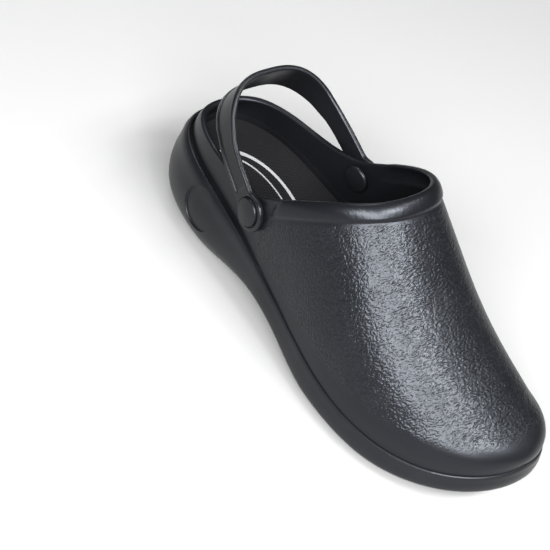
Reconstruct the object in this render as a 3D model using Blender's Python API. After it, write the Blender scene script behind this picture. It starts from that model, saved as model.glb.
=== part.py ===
"""Chef clog for the right foot: a closed-toe clog moulded in foam, with a low heel cup and a heel strap.

World frame in metres: +X to the toe, +Y to the wearer's left, +Z up, standing on the floor at Z = 0.
The tables and sizes below are in millimetres, with x measured from the back of the sole's lip.
"""

import math
from collections import namedtuple

import bmesh
import bpy
import numpy as np
from mathutils import Matrix, Vector

MM = 0.001
GAP = 0.3

# Overall size of the shoe
LENGTH = 280.0
MIDDLE = (138.55, -3.2)
FULLNESS = 2.3

# Wall of the upper and the ledge of the sole outside it
WALL = 3.6
RIM_ROUND = 1.4
BEAD_HEIGHT = 9.5
BEAD_SWELL = 1.5
BEAD_EDGE_SHARE = 0.75
BEAD_START = 104.5
BEAD_FADE = 6.0
BEAD_ROWS_FROM = 0.6
SEAT_CLEAR = 0.5
GROOVE_DEPTH = 1.6
GROOVE_LEDGE = (1.2, 2.8)
GROOVE_SIDES = (0.92, 0.66)
RIDGE_SIDES = (0.54, 0.16)
TOE_SWELL = 1.3
TOE_SWELL_REACH = 26.0
TOE_SWELL_START = (190.0, 265.0)

# Footbed and insole
INSOLE_THICK = 4.2
CUP_RISE = 2.5
CUP_WIDTH = 16.0
INSOLE_CLEAR = 0.9
BED_STEPS = (CUP_WIDTH, 10.0, 5.0, 0.0)

# Heel strap, rivets and the round recess on the heel
PIVOT_X = 92.4
PIVOT_Z = 58.7
STRAP_MIDDLE = -0.2
STRAP_HALF_SPAN = 42.6
STRAP_REACH = 69.5
STRAP_LIFT = math.radians(28.2)
STRAP_SQUARENESS = 2.8
STRAP_WIDTH = 13.8
STRAP_BACK_SWELL = 4.0
STRAP_BACK_RISE = 1.0
STRAP_BACK_FROM = 0.45
STRAP_THICK = 3.2
STRAP_BORDER = 2.3
STRAP_PANEL_DEPTH = 0.7
STRAP_TAPER = 0.13
STRAP_TAPER_RUN = 12.0
STRAP_CHAMFER = 0.5
STRAP_PANEL_SLOPE = 0.5
STRAP_PANEL_END = (12.0, 14.0)
STRAP_EYE_BLEND = (-1.0, 13.0)
EYE_RADIUS = 11.0
EYE_COUNTERBORE = 8.6
EYE_COUNTERBORE_DEPTH = 0.9
RIVET_SHANK = 3.0
RIVET_HOLE = 3.4
RIVET_CAP = 7.9
RIVET_CAP_RISE = 2.4
RIVET_SLACK = 2.4
ROUND_SIDES = 20
DISC_RADIUS = 13.2
DISC_DEPTH = 1.1
DISC_SIDES = 40
DISC_CENTRE = (56.0, 28.0)

# Treads: bars across an oval pad that is let into the underside
PAD_POCKET = 3.0
PAD_CHANNEL = 2.2
BAR_GROOVE = 1.6
BAR_GROOVE_DEPTH = 2.0
BAR_GROOVE_SLOPE = 0.15
BAR_WIDE = 6.2
BAR_NARROW = 3.4
BAR_END = 8.0

# Underside: flat under heel and ball, with the arch between them and the toe sprung up
STAND_OFF = 0.8
HEEL_EDGE = 20.0
HEEL_EDGE_LIFT = 2.2
ARCH_SPAN = (54.0, 178.0)
ARCH_RISE = 12.4
TOE_SPRING_START = 216.0
TOE_SPRING = 12.0

# Facets round the shoe and up the wall, from the lip at 0 to the collar at 1
AROUND = 60
OUTER_ROWS = np.array([0, 0.05, 0.13, 0.24, 0.36, 0.48, 0.60, 0.67, 0.71, 0.82, 1.0])
COLLAR_LEAD = 0.3
FAN_REACH = (140.0, 225.0)
INNER_ROWS = np.array([0, 0.06, 0.15, 0.27, 0.42, 0.60, 0.72, 0.86, 1.0])

# half: half width of the lip; centre: its middle, to the wearer's left; lip: height of the sole's lip;
# crown: top line of the upper, closed over the heel; bed: height of the footbed's middle
Section = namedtuple("Section", "x half centre lip crown bed")
SECTIONS = (
    Section(0, 0.0, 0.0, 46.0, 47.0, 36.5),
    Section(8, 20.0, 0.0, 46.1, 64.0, 36.4),
    Section(25, 31.6, 0.0, 45.8, 94.0, 36.0),
    Section(50, 37.9, 0.0, 44.1, 125.0, 34.5),
    Section(80, 41.2, 0.2, 40.2, 141.0, 30.0),
    Section(110, 44.7, -0.3, 34.6, 138.5, 25.0),
    Section(140, 47.3, -0.8, 27.9, 124.5, 20.5),
    Section(170, 49.7, -2.4, 22.3, 102.5, 17.8),
    Section(200, 50.0, -3.4, 18.8, 79.8, 16.2),
    Section(230, 47.1, -1.2, 18.2, 61.8, 16.2),
    Section(255, 39.3, 3.6, 20.6, 49.5, 18.5),
    Section(270, 27.8, 6.4, 24.8, 41.5, 22.5),
    Section(280, 0.0, 8.0, 29.5, 32.5, 26.0),
)

# Height of the collar's edge, seen from the side
Collar = namedtuple("Collar", "x height")
COLLAR = (
    Collar(0, 60.5),
    Collar(40, 60.0),
    Collar(65, 61.0),
    Collar(80, 63.5),
    Collar(95, 69.5),
    Collar(105, 77.0),
    Collar(120, 89.0),
    Collar(140, 103.2),
    Collar(175, 121.0),
)

# swell: how far the sole's side stands out past its lip; tuck: how far its lower edge is drawn in;
# ledge: width of the lip outside the upper
Side = namedtuple("Side", "x swell tuck ledge")
SIDES = (
    Side(0, 4.5, 7.0, 3.0),
    Side(50, 5.0, 8.0, 3.0),
    Side(80, 3.0, 9.0, 2.6),
    Side(110, 1.0, 9.0, 1.6),
    Side(150, 0.8, 8.0, 0.7),
    Side(220, 1.3, 7.0, 0.6),
    Side(280, 1.6, 8.0, 0.5),
)

# Profile of the sole's side from the lip down, in parts of its swell, its tuck and its height
Profile = namedtuple("Profile", "swell tuck height")
PROFILE = (
    Profile(0.25, 0.0, 0.96),
    Profile(0.62, 0.0, 0.80),
    Profile(0.95, 0.0, 0.60),
    Profile(1.00, 0.0, 0.42),
    Profile(0.80, 0.06, 0.26),
    Profile(0.45, 0.28, 0.13),
    Profile(0.10, 0.62, 0.04),
    Profile(0.00, 1.00, 0.00),
)

# Oval pads of the tread
Pad = namedtuple("Pad", "name middle half_length half_width power")
PADS = (
    Pad("tread_forefoot", 207.0, 62.0, 36.0, 2.4),
    Pad("tread_heel", 40.0, 31.0, 25.0, 2.4),
)

SIDE_NAMES = ((1, "inner_side"), (-1, "outer_side"))

Finish = namedtuple("Finish", "name colour roughness")
FOAM = Finish("black_foam", (0.030, 0.030, 0.034, 1.0), 0.50)
TREAD = Finish("slate_rubber", (0.090, 0.100, 0.120, 1.0), 0.65)
TEXTILE = Finish("charcoal_textile", (0.028, 0.028, 0.030, 1.0), 0.90)
PLASTIC = Finish("black_plastic", (0.025, 0.025, 0.028, 1.0), 0.40)


class Curve:
    """Smooth curve through the rows of a table, by natural cubic splines."""

    def __init__(self, places, values):
        self.places = np.array(places, float)
        self.values = np.array(values, float)
        step = np.diff(self.places)
        slope = np.diff(self.values) / step
        count = len(self.places)
        system = np.eye(count)
        bend = np.zeros(count)
        for row in range(1, count - 1):
            system[row, row - 1:row + 2] = step[row - 1], 2 * (step[row - 1] + step[row]), step[row]
            bend[row] = 6 * (slope[row] - slope[row - 1])
        self.bend = np.linalg.solve(system, bend)

    def __call__(self, place):
        place = np.asarray(place, float)
        row = np.clip(np.searchsorted(self.places, place) - 1, 0, len(self.places) - 2)
        step = self.places[row + 1] - self.places[row]
        right = (place - self.places[row]) / step
        left = 1 - right
        sag = (left ** 3 - left) * self.bend[row] + (right ** 3 - right) * self.bend[row + 1]
        return left * self.values[row] + right * self.values[row + 1] + sag * step ** 2 / 6


def angle_of(x):
    """Angle round an ellipse of the shoe's length, so that curves in it have round ends."""
    return np.arccos(np.clip(1 - 2 * np.asarray(x, float) / LENGTH, -1, 1))


def section_curve(column):
    places = [float(angle_of(row.x)) for row in SECTIONS]
    curve = Curve(places, [getattr(row, column) for row in SECTIONS])
    return lambda x: curve(angle_of(x))


def side_curve(column):
    places = [row.x for row in SIDES]
    values = [getattr(row, column) for row in SIDES]
    return lambda x: np.interp(x, places, values)


half_at = section_curve("half")
centre_at = section_curve("centre")
lip_at = section_curve("lip")
crown_at = section_curve("crown")
bed_at = section_curve("bed")
swell_at = side_curve("swell")
tuck_at = side_curve("tuck")
ledge_at = side_curve("ledge")
collar_at = Curve([row.x for row in COLLAR], [row.height for row in COLLAR])


def under_at(x):
    """Height of the sole's underside, flat where heel and ball stand."""
    heel = HEEL_EDGE_LIFT * np.clip(1 - x / HEEL_EDGE, 0, None) ** 2
    along = np.clip((x - ARCH_SPAN[0]) / (ARCH_SPAN[1] - ARCH_SPAN[0]), 0, 1)
    toe = TOE_SPRING * np.clip((x - TOE_SPRING_START) / (LENGTH - TOE_SPRING_START), 0, None) ** 2
    return STAND_OFF + heel + ARCH_RISE * np.sin(math.pi * along) ** 2 + toe


def smooth_step(value, start, end):
    part = np.clip((value - start) / (end - start), 0, 1)
    return part * part * (3 - 2 * part)


def turns(count=AROUND):
    """Angles round the shoe: 0 at the heel, a half turn at the toe, the wearer's left side first."""
    return np.arange(count) * 2 * math.pi / count


def lip_outline(turn):
    """Plan of the sole's lip, x and y."""
    x = LENGTH / 2 * (1 - np.cos(turn))
    side = np.sign(np.sin(turn))
    return np.stack([x, centre_at(x) + side * half_at(x)], axis=-1)


def lip_normal(turn):
    """Unit vectors out of the lip's plan."""
    step = 1e-3
    along = lip_outline(turn + step) - lip_outline(turn - step)
    out = np.stack([-along[:, 1], along[:, 0]], axis=-1)
    return out / np.linalg.norm(out, axis=1, keepdims=True)


def ring(turn, inset, height):
    """Loop that follows the lip, moved in by inset."""
    plan = lip_outline(turn) - lip_normal(turn) * np.reshape(inset, (-1, 1))
    return np.column_stack([plan, np.broadcast_to(height, turn.shape)])


def dome(x, share):
    """Height of the upper's closed form at a share of its half width."""
    low = lip_at(x)
    arch = np.clip(1 - np.abs(share) ** FULLNESS, 0, 1) ** (1 / FULLNESS)
    return low + (crown_at(x) - low) * arch


def crossing(start, end):
    """Place between start and end where the collar's edge meets the crown line."""
    sign = np.sign(crown_at(start) - collar_at(start))
    for _ in range(40):
        middle = (start + end) / 2
        if np.sign(crown_at(middle) - collar_at(middle)) == sign:
            start = middle
        else:
            end = middle
    return (start + end) / 2


COLLAR_BACK = crossing(0.0, 25.0)
COLLAR_FRONT = crossing(140.0, 175.0)


def collar_edge(turn):
    """Collar's edge on the closed form, as x and the share of the half width there."""
    x = COLLAR_BACK + (COLLAR_FRONT - COLLAR_BACK) / 2 * (1 - np.cos(turn + COLLAR_LEAD * np.sin(turn)))
    low = lip_at(x)
    rise = np.clip((collar_at(x) - low) / (crown_at(x) - low), 0, 1)
    return x, np.sign(np.sin(turn)) * (1 - rise ** FULLNESS) ** (1 / FULLNESS)


def form_lines(turn, samples=90):
    """Lines up the closed form from the lip to the collar, one for each turn, with their lengths.

    Along heel and waist a line keeps inside the outline by its share of the half width; towards the
    toe it runs straight in plan.
    """
    run = (np.linspace(0, 1, samples) ** FULLNESS)[None, :]
    foot = lip_outline(turn)
    foot_x = foot[:, :1]
    head_x, head_share = (column[:, None] for column in collar_edge(turn))
    foot_share = np.sign(np.sin(turn))[:, None]
    head_y = centre_at(head_x) + half_at(head_x) * head_share
    x = foot_x + (head_x - foot_x) * run
    kept = foot_share + (head_share - foot_share) * run
    straight = foot[:, 1:] + (head_y - foot[:, 1:]) * run
    fan = smooth_step(foot_x, *FAN_REACH)
    y = (centre_at(x) + half_at(x) * kept) * (1 - fan) + straight * fan
    share = np.clip((y - centre_at(x)) / np.maximum(half_at(x), 1e-6), -1, 1)
    height = dome(x, share)
    height[:, 0] = lip_at(foot[:, 0])
    lines = np.stack([x, y, height], axis=-1)
    steps = np.linalg.norm(np.diff(lines, axis=1), axis=2)
    return lines, np.concatenate([np.zeros((len(turn), 1)), np.cumsum(steps, axis=1)], axis=1)


def form_grid(turn, rows):
    """Points of the closed form at the given rows, with normals and the run from the lip and collar.

    rows runs from 0 at the lip to 1 at the collar, with the last part kept for the collar's bead.
    """
    lines, lengths = form_lines(turn)
    total = lengths[:, -1]
    bead = np.minimum(BEAD_HEIGHT + BEAD_SWELL * 2, 0.5 * total)
    low = np.minimum(rows / BEAD_ROWS_FROM, 1)[None, :] * (total - bead)[:, None]
    high = np.clip((rows - BEAD_ROWS_FROM) / (1 - BEAD_ROWS_FROM), 0, 1)
    run = low + high[None, :] * bead[:, None]
    points = np.empty(run.shape + (3,))
    for row in range(len(turn)):
        for axis in range(3):
            points[row, :, axis] = np.interp(run[row], lengths[row], lines[row, :, axis])
    across = np.roll(points, -1, axis=0) - np.roll(points, 1, axis=0)
    up = np.gradient(points, axis=1)
    up[:, 0] = (0, 0, 1)
    normal = np.cross(up, across)
    normal /= np.linalg.norm(normal, axis=2, keepdims=True)
    return points, normal, run, total[:, None] - run


def bead_profile(from_edge):
    """Swell of the rolled bead below the collar's edge."""
    rise = 1 - smooth_step(from_edge, BEAD_HEIGHT - BEAD_SWELL, BEAD_HEIGHT)
    crown = np.sin(math.pi * np.clip(from_edge / BEAD_HEIGHT, 0, 1))
    return rise * (BEAD_EDGE_SHARE + (1 - BEAD_EDGE_SHARE) * crown)


def upper_skin(turn, rows, depth):
    """Points of the upper's wall, depth millimetres inside its outer face."""
    points, normal, from_lip, from_edge = form_grid(turn, rows)
    foot_x = lip_outline(turn)[:, 0][:, None]
    ledge = ledge_at(foot_x)
    ahead = smooth_step(points[..., 0], BEAD_START, BEAD_START + BEAD_FADE)
    bead = BEAD_SWELL * bead_profile(from_edge) * ahead
    toe = TOE_SWELL * smooth_step(foot_x, *TOE_SWELL_START)
    swell = toe * np.sin(math.pi * np.clip(from_lip / TOE_SWELL_REACH, 0, 1)) ** 2
    move = swell + bead - ledge - depth
    skin = points + normal * move[..., None]
    skin[:, 0, 2] = points[:, 0, 2]
    skin[..., 2] += GAP * (1 - smooth_step(from_lip, 0, BEAD_FADE))
    return skin


def loft(loops, first="open", last="open"):
    """Vertices and faces through loops of equal count; an end is open, fan, ladder or join.

    A fan meets in the middle, a ladder crosses from side to side, and a join meets the other end.
    """
    count = len(loops[0])
    vertices = [tuple(point) for loop in loops for point in loop]
    faces = []
    spans = len(loops) if last == "join" else len(loops) - 1
    for row in range(spans):
        here = row * count
        there = (row + 1) % len(loops) * count
        for step in range(count):
            ahead = (step + 1) % count
            faces.append((here + step, here + ahead, there + ahead, there + step))
    for kind, start in ((first, 0), (last, (len(loops) - 1) * count)):
        if kind == "ladder":
            for step in range(count // 2):
                near = (start + step, start + step + 1)
                far = (start + count - step - 1, start + (count - step) % count)
                faces.append(tuple(dict.fromkeys(near + far)))
        if kind == "fan":
            hub = len(vertices)
            vertices.append(tuple(np.mean(loops[0 if start == 0 else -1], axis=0)))
            for step in range(count):
                faces.append((start + step, start + (step + 1) % count, hub))
    return vertices, faces


def make_material(finish):
    material = bpy.data.materials.get(finish.name) or bpy.data.materials.new(finish.name)
    material.use_nodes = True
    shader = material.node_tree.nodes["Principled BSDF"]
    shader.inputs["Base Color"].default_value = finish.colour
    shader.inputs["Roughness"].default_value = finish.roughness
    shader.inputs["Metallic"].default_value = 0.0
    material.diffuse_color = finish.colour
    return material


def make_object(name, vertices, faces, finish, place=Matrix.Identity(4)):
    """Closed mesh in millimetres, from the heel's corner, as an object in the world frame."""
    mesh = bpy.data.meshes.new(name)
    work = bmesh.new()
    corners = [work.verts.new(place @ Vector(point)) for point in vertices]
    for face in faces:
        work.faces.new([corners[index] for index in face])
    for vertex in work.verts:
        vertex.co = (vertex.co - Vector((*MIDDLE, 0))) * MM
    bmesh.ops.recalc_face_normals(work, faces=work.faces)
    work.to_mesh(mesh)
    work.free()
    mesh.materials.append(make_material(finish))
    mesh.shade_smooth()
    mesh.set_sharp_from_angle(angle=math.radians(35))
    thing = bpy.data.objects.new(name, mesh)
    bpy.context.collection.objects.link(thing)
    return thing


def cut(target, cutter):
    """Take the cutter's shape out of the target."""
    cutter.hide_render = True
    cutter.display_type = "WIRE"
    modifier = target.modifiers.new(cutter.name, "BOOLEAN")
    modifier.operation = "DIFFERENCE"
    modifier.solver = "EXACT"
    modifier.object = cutter


def turned(profile, sides=ROUND_SIDES):
    """Loops of a turned piece about local Z, from rows of radius and height."""
    angles = np.arange(sides) * 2 * math.pi / sides
    return [
        np.column_stack([radius * np.cos(angles), radius * np.sin(angles), np.full(sides, height)])
        for radius, height in profile
    ]


def footbed(turn, inset, from_edge):
    """Loop on the footbed, which rises like a shallow cup to its edge."""
    loop = ring(turn, inset + from_edge, 0)
    cup = CUP_RISE * np.clip(1 - from_edge / CUP_WIDTH, 0, 1) ** 2
    loop[:, 2] = bed_at(np.clip(loop[:, 0], 0, LENGTH)) + cup
    return loop


def build_upper():
    turn = turns()
    outer = upper_skin(turn, OUTER_ROWS, 0.0)
    inner = upper_skin(turn, INNER_ROWS, WALL)
    rim = [upper_skin(turn, OUTER_ROWS, WALL * share)[:, -1] for share in (0.22, 0.78)]
    lift = outer[:, -1] - outer[:, -3]
    lift /= np.linalg.norm(lift, axis=1, keepdims=True)
    loops = [outer[:, row] for row in range(len(OUTER_ROWS))]
    loops += [loop + lift * RIM_ROUND * 0.8 for loop in rim]
    loops += [inner[:, row] for row in reversed(range(len(INNER_ROWS)))]
    upper = make_object("upper", *loft(loops, last="join"), FOAM)
    for side, name in SIDE_NAMES:
        bore = loft(turned(((RIVET_HOLE, -14), (RIVET_HOLE, 6))), "fan", "fan")
        cut(upper, make_object(f"rivet_bore_{name}", *bore, FOAM, rivet_place(side)))
    return upper


def side_loops(turn):
    """Loops of the sole's side, from the groove beside the upper to the underside."""
    x = lip_outline(turn)[:, 0]
    lip = lip_at(x)
    under = under_at(x)
    ledge = ledge_at(x)
    groove = lip - 0.05 - GROOVE_DEPTH * smooth_step(ledge, *GROOVE_LEDGE)
    loops = [ring(turn, ledge + WALL + SEAT_CLEAR, lip), ring(turn, ledge + 0.05, lip)]
    loops += [ring(turn, ledge * share, groove) for share in GROOVE_SIDES]
    loops += [ring(turn, ledge * share, lip) for share in RIDGE_SIDES]
    for row in PROFILE:
        out = row.swell * swell_at(x) - row.tuck * tuck_at(x)
        loops.append(ring(turn, -out, under + row.height * (lip - under)))
    return loops


def build_sole():
    turn = turns()
    side = side_loops(turn)
    wall_side = ledge_at(lip_outline(turn)[:, 0]) + WALL + SEAT_CLEAR
    bed = [footbed(turn, wall_side, from_edge) for from_edge in BED_STEPS]
    return make_object("sole", *loft(bed + side, "ladder", "ladder"), FOAM)


def build_insole():
    turn = turns()
    inset = ledge_at(lip_outline(turn)[:, 0]) + WALL + INSOLE_CLEAR
    low = [footbed(turn, inset, from_edge) for from_edge in BED_STEPS]
    for loop in low:
        loop[:, 2] += GAP
    high = [loop + np.array((0, 0, INSOLE_THICK)) for loop in reversed(low[:-1])]
    edge = low[-1] + np.array((0, 0, INSOLE_THICK * 0.8))
    top = footbed(turn, inset, 0.8) + np.array((0, 0, INSOLE_THICK + GAP))
    return make_object("insole", *loft(low + [edge, top] + high, "ladder", "ladder"), TEXTILE)


def pad_half(pad, x, grow=0.0):
    part = np.clip(np.abs(x - pad.middle) / (pad.half_length + grow), 0, 1)
    return (pad.half_width + grow) * (1 - part ** pad.power) ** (1 / pad.power)


def bar_rows(pad):
    """Rows along a pad: x and depth of the groove, wide and narrow bars in turn."""
    start = pad.middle - pad.half_length + 0.4
    end = pad.middle + pad.half_length - 0.4
    rows = [(start + BAR_END * share, 0.0) for share in (0, 0.12, 0.4)]
    x = start + BAR_END
    wide = False
    while x + BAR_GROOVE + BAR_NARROW < end - BAR_END:
        far = x + BAR_GROOVE
        rows += [(x, 0.0), (x + BAR_GROOVE_SLOPE, BAR_GROOVE_DEPTH)]
        rows += [(far - BAR_GROOVE_SLOPE, BAR_GROOVE_DEPTH), (far, 0.0)]
        x += BAR_GROOVE + (BAR_WIDE if wide else BAR_NARROW)
        wide = not wide
    rows.append((max(x, end - BAR_END), 0.0))
    rows += [(end - BAR_END * share, 0.0) for share in (0.4, 0.12, 0)]
    return rows


def pad_mesh(pad, rows, grow, bottom_of, top_of):
    """Closed pad: rows across its oval, with heights from the two functions."""
    loops = []
    for x, depth in rows:
        half = float(pad_half(pad, x, grow))
        left, right = float(centre_at(x)) + half, float(centre_at(x)) - half
        low, high = bottom_of(x, depth), top_of(x)
        loops.append(np.array(((x, right, low), (x, left, low), (x, left, high), (x, right, high))))
    return loft(loops, "fan", "fan")


def build_tread(pad, sole):
    def tread_face(x, depth):
        return float(under_at(x)) - STAND_OFF + depth

    def tread_back(x):
        return float(under_at(x)) + PAD_POCKET - GAP

    def below_sole(x, depth):
        return float(under_at(x)) - 2 * PAD_POCKET

    def pocket_roof(x):
        return float(under_at(x)) + PAD_POCKET

    make_object(pad.name, *pad_mesh(pad, bar_rows(pad), 0.0, tread_face, tread_back), TREAD)
    reach = pad.half_length + PAD_CHANNEL
    places = pad.middle - reach * np.cos(np.linspace(0.06, math.pi - 0.06, 31))
    pocket = pad_mesh(pad, [(x, 0.0) for x in places], PAD_CHANNEL, below_sole, pocket_roof)
    cut(sole, make_object(pad.name + "_pocket", *pocket, FOAM))


def facing(point, direction):
    """Frame at a point with local Z along the direction."""
    turn = Vector(direction).normalized().to_track_quat("Z", "Y")
    return Matrix.Translation(point) @ turn.to_matrix().to_4x4()


def strap_path(run, side):
    """Middle of the strap in the world, run millimetres from the pivot to the back."""
    part = np.clip(run / STRAP_REACH, 0, 1)
    drawn_in = STRAP_TAPER * STRAP_TAPER_RUN * np.tanh(run / STRAP_TAPER_RUN)
    span = (STRAP_HALF_SPAN - drawn_in) * (1 - part ** STRAP_SQUARENESS) ** (1 / STRAP_SQUARENESS)
    return np.stack([
        PIVOT_X - run * math.cos(STRAP_LIFT),
        STRAP_MIDDLE + side * span,
        PIVOT_Z + run * math.sin(STRAP_LIFT),
    ], axis=-1)


def strap_stations():
    """Points along the strap from eye to eye over the back, with the run from the nearer pivot."""
    eye = -EYE_RADIUS * np.cos(np.linspace(0.16, math.pi * 0.46, 7))
    limb = np.linspace(2.5, STRAP_REACH * 0.55, 9)
    bend = STRAP_REACH * np.sin(np.linspace(math.asin(0.62), math.pi / 2, 10)) ** (2 / STRAP_SQUARENESS)
    runs = np.concatenate([eye, limb, bend])
    left = strap_path(runs, 1)
    right = strap_path(runs, -1)
    return np.concatenate([left, right[-2::-1]]), np.concatenate([runs, runs[-2::-1]])


def build_strap():
    points, runs = strap_stations()
    along = np.gradient(points, axis=0)
    along /= np.linalg.norm(along, axis=1, keepdims=True)
    across = np.array((math.sin(STRAP_LIFT), 0, math.cos(STRAP_LIFT)))
    out = np.cross(along, across)
    out /= np.linalg.norm(out, axis=1, keepdims=True)
    eye = np.sqrt(np.clip(EYE_RADIUS ** 2 - runs ** 2, 0.3, None))
    blend = smooth_step(runs, *STRAP_EYE_BLEND)
    half = np.where(runs < 0, eye, eye * (1 - blend) + STRAP_WIDTH / 2 * blend)
    half = np.maximum(half, np.where(runs > 4, STRAP_WIDTH / 2, 0))
    back = smooth_step(runs, STRAP_BACK_FROM * STRAP_REACH, STRAP_REACH)
    half = half + STRAP_BACK_SWELL * back
    points = points + across * (STRAP_BACK_RISE * back)[:, None]
    panel = STRAP_PANEL_DEPTH * smooth_step(runs, *STRAP_PANEL_END)
    top = STRAP_THICK / 2
    loops = []
    for point, face, width, dip in zip(points, out, half, panel):
        edge = min(STRAP_CHAMFER, width * 0.4)
        inside = max(width - STRAP_BORDER, width * 0.3)
        floor = inside - STRAP_PANEL_SLOPE
        profile = (
            (-width, -top + edge), (-width + edge, -top), (width - edge, -top), (width, -top + edge),
            (width, top - edge), (width - edge, top), (inside, top), (floor, top - dip),
            (-floor, top - dip), (-inside, top), (-width + edge, top), (-width, top - edge),
        )
        loops.append(np.array([point + across * wide + face * thick for wide, thick in profile]))
    strap = make_object("heel_strap", *loft(loops, "fan", "fan"), FOAM)
    for side, name in SIDE_NAMES:
        for radius, start, end, what in (
            (RIVET_HOLE, -6.0, 6.0, "hole"),
            (EYE_COUNTERBORE, STRAP_THICK / 2 - EYE_COUNTERBORE_DEPTH, 6.0, "counterbore"),
        ):
            shape = loft(turned(((radius, start), (radius, end))), "fan", "fan")
            cut(strap, make_object(f"eye_{what}_{name}", *shape, FOAM, rivet_place(side)))
    return strap


def rivet_place(side):
    """Frame of a rivet: origin in the strap's middle at the pivot, local Z out of the shoe."""
    back, up = math.cos(STRAP_LIFT), math.sin(STRAP_LIFT)
    return facing(strap_path(np.array(0.0), side), (-STRAP_TAPER * back, side, STRAP_TAPER * up))


def build_rivet(side, name):
    """Outer cap with its shank through eye and wall, and the inner cap that it locks into."""
    seat = STRAP_THICK / 2 - EYE_COUNTERBORE_DEPTH + GAP
    inner_face = -STRAP_THICK / 2 - WALL - RIVET_SLACK
    cap = (
        (RIVET_SHANK, inner_face - 0.9), (RIVET_SHANK, seat), (RIVET_CAP - 0.3, seat),
        (RIVET_CAP, seat + 0.4), (RIVET_CAP, seat + RIVET_CAP_RISE * 0.45),
        (RIVET_CAP - 0.7, seat + RIVET_CAP_RISE * 0.8), (RIVET_CAP * 0.6, seat + RIVET_CAP_RISE * 0.95),
        (RIVET_CAP * 0.2, seat + RIVET_CAP_RISE),
    )
    make_object(f"rivet_{name}", *loft(turned(cap), "fan", "fan"), PLASTIC, rivet_place(side))
    head = (
        (RIVET_SHANK + GAP, inner_face - 1.2), (RIVET_SHANK + GAP, inner_face), (RIVET_CAP, inner_face),
        (RIVET_CAP, inner_face - 0.9), (RIVET_CAP - 0.8, inner_face - 1.8),
        (RIVET_CAP * 0.5, inner_face - 2.3),
    )
    make_object(f"rivet_cap_{name}", *loft(turned(head), "fan", "fan"), PLASTIC, rivet_place(side))


def outer_side_at(x, height):
    """Y of the sole's outer side at a height."""
    under = under_at(x)
    rise = (height - under) / (lip_at(x) - under)
    heights = [row.height for row in reversed(PROFILE)]
    swell = np.interp(rise, heights, [row.swell for row in reversed(PROFILE)])
    tuck = np.interp(rise, heights, [row.tuck for row in reversed(PROFILE)])
    return centre_at(x) - half_at(x) - swell * swell_at(x) + tuck * tuck_at(x)


def cut_heel_disc(sole):
    """Round shallow recess on the outer side of the heel, with a floor that follows the side."""
    angles = turns(DISC_SIDES)
    loops = []
    for share, depth in ((1.0, -4.0), (1.0, DISC_DEPTH), (0.66, DISC_DEPTH), (0.33, DISC_DEPTH)):
        x = DISC_CENTRE[0] + DISC_RADIUS * share * np.cos(angles)
        z = DISC_CENTRE[1] + DISC_RADIUS * share * np.sin(angles)
        loops.append(np.column_stack([x, outer_side_at(x, z) + depth, z]))
    cut(sole, make_object("heel_disc", *loft(loops, "fan", "fan"), FOAM))


def main():
    for thing in list(bpy.data.objects):
        bpy.data.objects.remove(thing, do_unlink=True)
    build_upper()
    sole = build_sole()
    cut_heel_disc(sole)
    for pad in PADS:
        build_tread(pad, sole)
    build_insole()
    build_strap()
    for side, name in SIDE_NAMES:
        build_rivet(side, name)


main()
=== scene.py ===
"""Looks of a chef clog for the right foot: moulded foam, textile insole, rubber treads, soft light.

The frame is the part's own: metres, +X to the toe, +Y to the wearer's left, +Z up. The tables and sizes
are in millimetres, with x measured from the back of the sole's lip.
"""
import logging
import math
from collections.abc import Iterable, Sequence
from dataclasses import dataclass, field
from enum import Enum
from typing import NamedTuple

import bmesh
import bpy
import numpy as np
from mathutils import Matrix, Vector


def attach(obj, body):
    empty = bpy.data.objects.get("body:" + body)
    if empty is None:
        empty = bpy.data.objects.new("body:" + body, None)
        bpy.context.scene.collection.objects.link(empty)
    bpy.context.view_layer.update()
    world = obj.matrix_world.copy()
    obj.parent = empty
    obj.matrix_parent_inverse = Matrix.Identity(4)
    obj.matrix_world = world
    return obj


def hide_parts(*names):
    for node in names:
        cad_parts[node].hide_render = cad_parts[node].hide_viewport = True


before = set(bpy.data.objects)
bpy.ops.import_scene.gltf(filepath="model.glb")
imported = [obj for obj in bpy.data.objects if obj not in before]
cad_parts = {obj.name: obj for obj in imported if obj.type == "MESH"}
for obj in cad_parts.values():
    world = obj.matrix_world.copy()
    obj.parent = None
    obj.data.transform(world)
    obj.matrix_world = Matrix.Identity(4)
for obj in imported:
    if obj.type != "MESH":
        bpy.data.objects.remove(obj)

log = logging.getLogger("chef_clog")

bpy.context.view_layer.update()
BODY = "root"
MM = 0.001
MIDDLE = Vector((138.55, -3.2, 0.0))
Array = np.ndarray


class Section(NamedTuple):
    """Cross section of the clog: lip's half width and middle, and heights of lip, crown and footbed."""

    x: float
    half: float
    centre: float
    lip: float
    crown: float
    bed: float


class Collar(NamedTuple):
    """Height of the collar's edge at a place along the clog."""

    x: float
    height: float


class Side(NamedTuple):
    """Swell of the sole's side past its lip, tuck of its lower edge, and width of the ledge on top."""

    x: float
    swell: float
    tuck: float
    ledge: float


class Pad(NamedTuple):
    """Oval pad of the tread."""

    name: str
    middle: float
    half_length: float
    half_width: float
    power: float


class Flank(Enum):
    """Side of the shoe, as the sign of its Y."""

    INNER = 1
    OUTER = -1


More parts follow.
